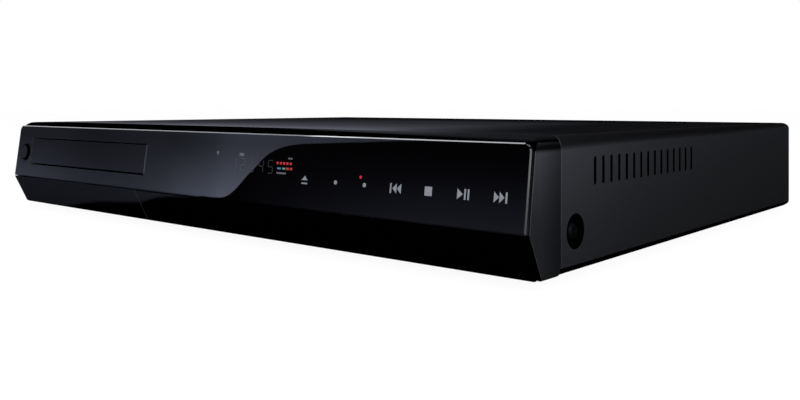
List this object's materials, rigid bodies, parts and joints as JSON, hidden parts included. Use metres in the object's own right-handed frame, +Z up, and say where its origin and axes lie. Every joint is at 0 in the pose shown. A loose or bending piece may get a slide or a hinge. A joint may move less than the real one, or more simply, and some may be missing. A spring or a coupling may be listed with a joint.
{
  "type": "dvd recorder",
  "caption": "Low, wide disc recorder case with a gloss front, a disc tray drive, a fold-down socket flap, hard disk, boards, rear sockets and feet",
  "frame": {"origin": "centre of the bounding box in plan, at floor level under the feet", "axes": "X to the right as seen from the front, Y to the back, Z up"},
  "size_m": [0.43, 0.3506, 0.0605],
  "materials": {
    "satin_black": "satin",
    "gloss_black": "polished",
    "black_paint": "satin",
    "zinc_steel": "zinc plated",
    "black_steel": "blackened",
    "steel": "bright",
    "rubber": "matte",
    "board_green": "coated laminate",
    "aluminium": "extruded",
    "cast_alloy": "cast",
    "black_plastic": "moulded",
    "grey_plastic": "moulded",
    "white_plastic": "moulded",
    "ferrite": "sintered core with tape",
    "display_glass": "glass front",
    "lens_glass": "coated lens"
  },
  "bodies": {
    "case": {"front_bezel": "satin_black", "front_window": "gloss_black", "top_cover": "black_paint", "chassis_base": "zinc_steel", "rear_panel": "zinc_steel", "cover_screw_left": "black_steel", "cover_screw_right": "black_steel", "foot_front_left": "rubber", "foot_front_right": "rubber", "foot_rear_left": "rubber", "foot_rear_right": "rubber", "drive_frame": "grey_plastic", "loading_belt": "rubber", "loading_motor": "steel", "clamp_bridge": "zinc_steel", "power_key_board": "board_green", "front_board": "board_green", "display_module": "display_glass", "jack_board": "board_green", "front_av_jacks": "black_plastic", "front_usb_socket": "steel", "front_dv_socket": "steel", "power_board": "board_green", "main_board": "board_green", "transformer": "ferrite", "main_capacitor": "black_plastic", "power_heat_sink": "aluminium", "ac_inlet": "black_plastic", "main_heat_sink": "aluminium", "component_jacks": "black_plastic", "av_out_jacks": "black_plastic", "tuner_module": "steel", "scart_socket_lower": "black_plastic", "scart_socket_upper": "black_plastic", "hdmi_socket": "steel", "digital_out_socket": "black_plastic", "hard_disk": "cast_alloy", "hard_disk_bracket": "zinc_steel", "fan_frame": "black_plastic"},
    "tray": {"disc_tray": "satin_black", "tray_door": "gloss_black"},
    "power_button": {"power_button": "gloss_black"},
    "jack_flap": {"jack_door": "gloss_black"},
    "tray_gear": {"tray_gear": "white_plastic"},
    "pulley_gear": {"pulley_gear": "white_plastic"},
    "motor_pulley": {"motor_pulley": "white_plastic"},
    "traverse": {"traverse_deck": "steel", "spindle_motor": "steel", "guide_rod_left": "steel", "guide_rod_right": "steel", "sled_motor": "steel"},
    "cam_slider": {"cam_slider": "white_plastic"},
    "turntable": {"turntable": "grey_plastic"},
    "sled": {"pickup_sled": "steel", "pickup_lens": "lens_glass"},
    "lead_screw": {"lead_screw": "steel"},
    "clamp_puck": {"clamp_puck": "white_plastic"},
    "fan_rotor": {"fan_rotor": "black_plastic"}
  },
  "joints": [
    {"name": "tray_slide", "type": "slide", "parent": "case", "child": "tray", "axis": [0, -1, 0], "range_m": [0, 0.145]},
    {"name": "tray_gear_spin", "type": "hinge", "parent": "case", "child": "tray_gear", "pos_m": [-0.0734, -0.1297, 0.0267], "axis": [0, 0, 1], "range_deg": [-693, 0]},
    {"name": "pulley_gear_spin", "type": "hinge", "parent": "case", "child": "pulley_gear", "pos_m": [-0.0929, -0.1297, 0.0267], "axis": [0, 0, 1], "range_deg": [0, 1109]},
    {"name": "motor_pulley_spin", "type": "hinge", "parent": "case", "child": "motor_pulley", "pos_m": [-0.129, -0.1322, 0.0229], "axis": [0, 0, 1], "range_deg": [0, 3441]},
    {"name": "power_button_press", "type": "slide", "parent": "case", "child": "power_button", "axis": [0, 0.9909, -0.1347], "range_m": [0, 0.0008], "stiffness_N_per_m": 400},
    {"name": "jack_flap_hinge", "type": "hinge", "parent": "case", "child": "jack_flap", "pos_m": [-0.0576, -0.1632, 0.006], "axis": [1, 0, 0], "range_deg": [0, 65]},
    {"name": "traverse_tilt", "type": "hinge", "parent": "case", "child": "traverse", "pos_m": [-0.121, 0.0173, 0.02985], "axis": [-1, 0, 0], "range_deg": [0, 4.6]},
    {"name": "cam_slide", "type": "slide", "parent": "case", "child": "cam_slider", "axis": [-1, 0, 0], "range_m": [0, 0.02001]},
    {"name": "turntable_spin", "type": "hinge", "parent": "traverse", "child": "turntable", "pos_m": [-0.121, -0.08746, 0.02268], "axis": [0, -0.0802, 0.9968], "continuous": true},
    {"name": "sled_slide", "type": "slide", "parent": "traverse", "child": "sled", "axis": [0, 0.9968, 0.0802], "range_m": [0, 0.034]},
    {"name": "lead_screw_spin", "type": "hinge", "parent": "traverse", "child": "lead_screw", "pos_m": [-0.088, -0.0456, 0.02604], "axis": [0, 0.9968, 0.0802], "range_deg": [0, 4081]},
    {"name": "clamp_puck_spin", "type": "hinge", "parent": "case", "child": "clamp_puck", "pos_m": [-0.121, -0.0877, 0.049], "axis": [0, 0, 1], "continuous": true},
    {"name": "fan_spin", "type": "hinge", "parent": "case", "child": "fan_rotor", "pos_m": [-0.052, 0.1593, 0.0325], "axis": [0, 1, 0], "continuous": true}
  ],
  "couplings": [
    {"joint": "tray_gear_spin", "follows": "tray_slide", "rad_per_m": -83.333},
    {"joint": "pulley_gear_spin", "follows": "tray_slide", "rad_per_m": 133.33},
    {"joint": "motor_pulley_spin", "follows": "tray_slide", "rad_per_m": 414.04},
    {"joint": "cam_slide", "follows": "traverse_tilt", "m_per_rad": 0.24911},
    {"joint": "lead_screw_spin", "follows": "sled_slide", "rad_per_m": 2094.4}
  ]
}
